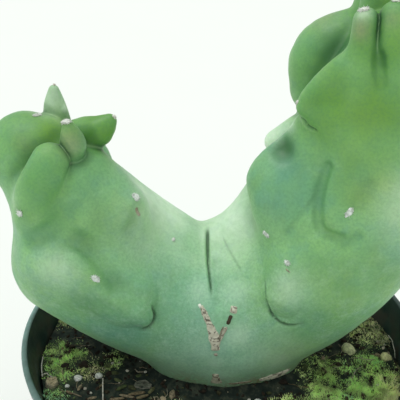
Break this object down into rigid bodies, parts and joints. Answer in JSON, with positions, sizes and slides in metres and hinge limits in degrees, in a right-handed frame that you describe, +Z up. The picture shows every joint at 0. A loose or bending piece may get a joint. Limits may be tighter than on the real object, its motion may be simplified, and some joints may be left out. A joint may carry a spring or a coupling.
{
  "type": "potted totem pole cactus",
  "caption": "Young totem pole cactus forked low into smooth, knobbly green arms, standing in soil in a dark round plastic nursery pot.",
  "frame": {"origin": "centre of the flat underside of the pot", "axes": "+Z up out of the pot, +X towards the taller arm, -Y towards the front that shows both arms side by side"},
  "size_m": [0.1579, 0.15, 0.2441],
  "materials": {
    "cactus_skin": "satin",
    "pot": "satin",
    "soil": "matte",
    "pebble": "matte",
    "bark": "matte"
  },
  "bodies": {
    "root": {"cactus": "cactus_skin", "pot": "pot", "soil": "soil", "pebble_1": "pebble", "pebble_2": "pebble", "pebble_3": "pebble", "pebble_4": "pebble", "pebble_5": "pebble", "pebble_6": "pebble", "pebble_7": "pebble", "pebble_8": "pebble", "pebble_9": "pebble", "pebble_10": "pebble", "pebble_11": "pebble", "bark_chip_1": "bark", "bark_chip_2": "bark", "bark_chip_3": "bark", "bark_chip_4": "bark", "bark_chip_5": "bark"}
  },
  "joints": []
}
